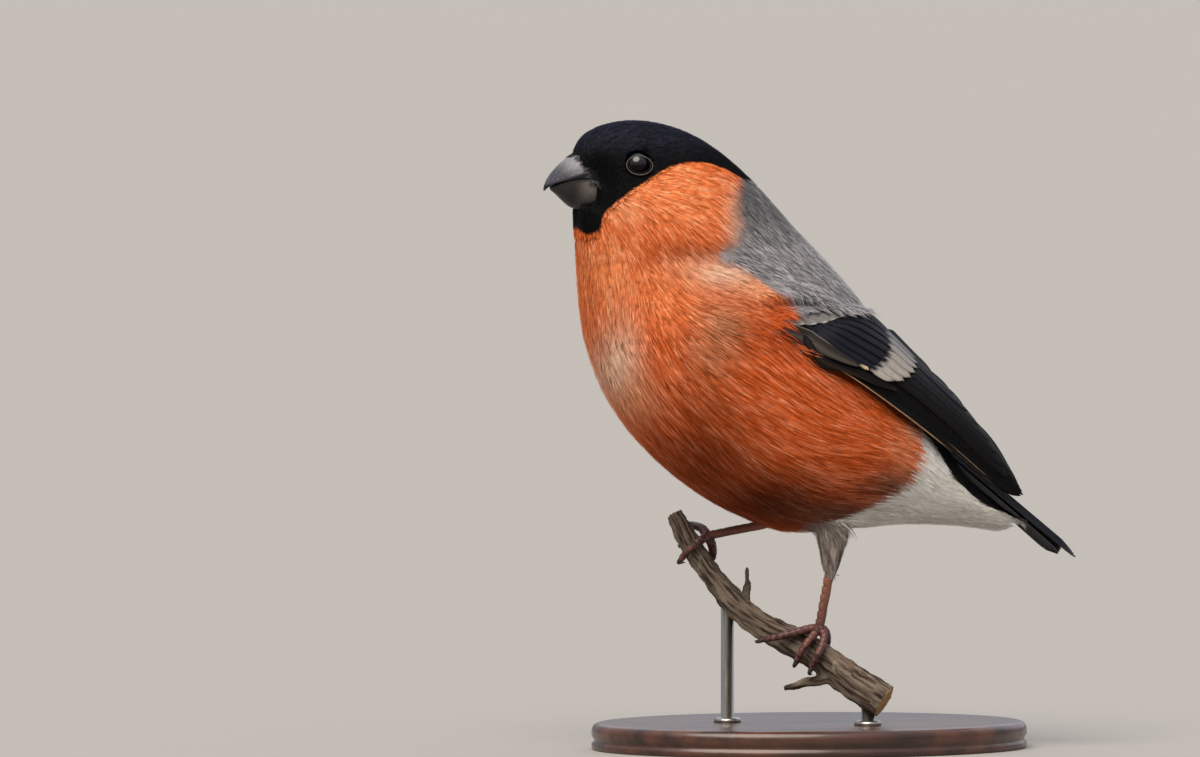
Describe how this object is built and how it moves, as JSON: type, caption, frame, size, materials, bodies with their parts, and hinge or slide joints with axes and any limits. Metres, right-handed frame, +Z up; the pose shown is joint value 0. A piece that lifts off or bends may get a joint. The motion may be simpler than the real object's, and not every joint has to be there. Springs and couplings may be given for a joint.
{
  "type": "bullfinch",
  "caption": "Life-size perched male bullfinch with grey back, black cap and wings, orange-red breast and white rump, on a cut heather stem over an oval display stand.",
  "frame": {"origin": "middle of the underside of the display base, under the middle of the bird's length", "axes": "-X the way the bill points, -Y the bird's left side, +Z up"},
  "size_m": [0.1219, 0.076, 0.143],
  "materials": {
    "cap_feathers": "glossy black feathers",
    "breast_feathers": "soft, hair-like orange-red feathers",
    "mantle_feathers": "soft ash-grey feathers",
    "vent_feathers": "soft white feathers",
    "thigh_feathers": "shaggy grey feathers",
    "flight_feathers": "satin black vanes, the greater coverts tipped pale grey",
    "bill_horn": "satin dark-grey horn",
    "eye_gloss": "wet, very dark brown",
    "leg_skin": "scaly purple-brown skin",
    "claw_horn": "dark horn",
    "heather_bark": "rough grey-brown bark, paler where cut",
    "base_wood": "oiled dark wood",
    "rod_metal": "satin steel"
  },
  "bodies": {
    "root": {"back": "mantle_feathers", "belly": "breast_feathers", "bill_lower": "bill_horn", "bill_upper": "bill_horn", "breast": "breast_feathers", "claw_left_hind": "claw_horn", "claw_left_inner": "claw_horn", "claw_left_middle": "claw_horn", "claw_left_outer": "claw_horn", "claw_right_hind": "claw_horn", "claw_right_inner": "claw_horn", "claw_right_middle": "claw_horn", "claw_right_outer": "claw_horn", "eye_left": "eye_gloss", "eye_right": "eye_gloss", "head": "cap_feathers", "neck": "breast_feathers", "perch_stem": "heather_bark", "rump": "vent_feathers", "stand_base": "base_wood", "stand_rod_1": "rod_metal", "stand_rod_2": "rod_metal", "tail": "flight_feathers", "tarsus_left": "leg_skin", "tarsus_right": "leg_skin", "thigh_left": "thigh_feathers", "thigh_right": "thigh_feathers", "toe_left_hind": "leg_skin", "toe_left_inner": "leg_skin", "toe_left_middle": "leg_skin", "toe_left_outer": "leg_skin", "toe_right_hind": "leg_skin", "toe_right_inner": "leg_skin", "toe_right_middle": "leg_skin", "toe_right_outer": "leg_skin", "undertail": "vent_feathers", "wing_left_coverts": "flight_feathers", "wing_left_primaries": "flight_feathers", "wing_left_secondaries": "flight_feathers", "wing_right_coverts": "flight_feathers", "wing_right_primaries": "flight_feathers", "wing_right_secondaries": "flight_feathers"}
  },
  "joints": []
}
